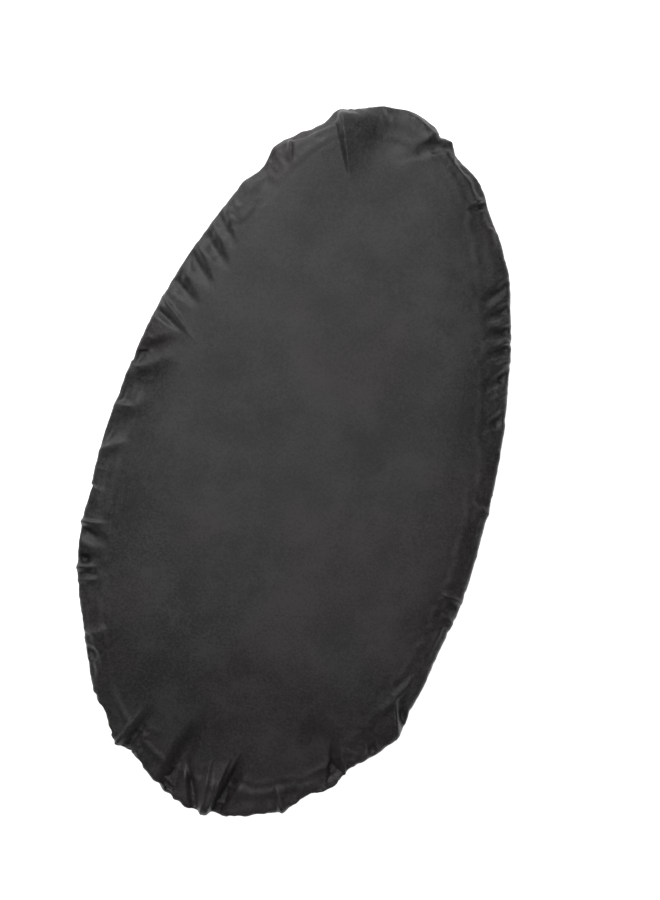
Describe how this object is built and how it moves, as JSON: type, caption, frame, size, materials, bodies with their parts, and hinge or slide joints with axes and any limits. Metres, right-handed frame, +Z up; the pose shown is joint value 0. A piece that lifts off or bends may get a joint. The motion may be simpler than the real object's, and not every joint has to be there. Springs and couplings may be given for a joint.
{
  "type": "kayak cockpit cover",
  "caption": "Egg-shaped coated-nylon kayak cockpit cover with its edge turned under, an elastic cord in the hem casing and a sprung cord lock at the stern.",
  "frame": {"origin": "on the ground under the middle of the cover's bounding box, free cord ends left out", "axes": "+Y towards the narrow bow end, +X to starboard, +Z up, the cover lying face up"},
  "size_m": [0.49, 0.8985, 0.046],
  "materials": {
    "coated_nylon": "coated plain weave, satin",
    "hem_tape": "matt woven tape",
    "thread": "bonded polyester thread",
    "cord_sheath": "braided polyester sheath on a rubber core",
    "tip_sleeve": "shrunk plastic sleeve",
    "lock_plastic": "fine spark-eroded moulding",
    "spring_steel": "stainless wire"
  },
  "bodies": {
    "cover": {"deck_panel": "coated_nylon", "turned_edge_starboard": "coated_nylon", "turned_edge_bow": "coated_nylon", "turned_edge_port": "coated_nylon", "turned_edge_stern": "coated_nylon", "hem_casing_stern_starboard": "hem_tape", "hem_casing_starboard": "hem_tape", "hem_casing_bow": "hem_tape", "hem_casing_port": "hem_tape", "hem_casing_stern_port": "hem_tape", "stern_patch": "hem_tape", "needle_thread": "thread", "bobbin_thread": "thread", "bar_tacks": "thread", "shock_cord": "cord_sheath", "cord_tail_port": "cord_sheath", "cord_tail_starboard": "cord_sheath", "tail_knot": "cord_sheath", "cord_tips": "tip_sleeve"},
    "lock": {"lock_barrel": "lock_plastic", "lock_spring": "spring_steel"},
    "plunger": {"lock_plunger": "lock_plastic"}
  },
  "joints": [
    {"name": "lock_slide", "type": "slide", "parent": "cover", "child": "lock", "axis": [0, 1, 0], "range_m": [-0.008, 0.015]},
    {"name": "plunger_slide", "type": "slide", "parent": "lock", "child": "plunger", "axis": [-1, 0, 0], "range_m": [0, 0.003], "stiffness_N_per_m": 1500, "springref_m": -0.002, "deforming": ["lock_spring"]}
  ]
}
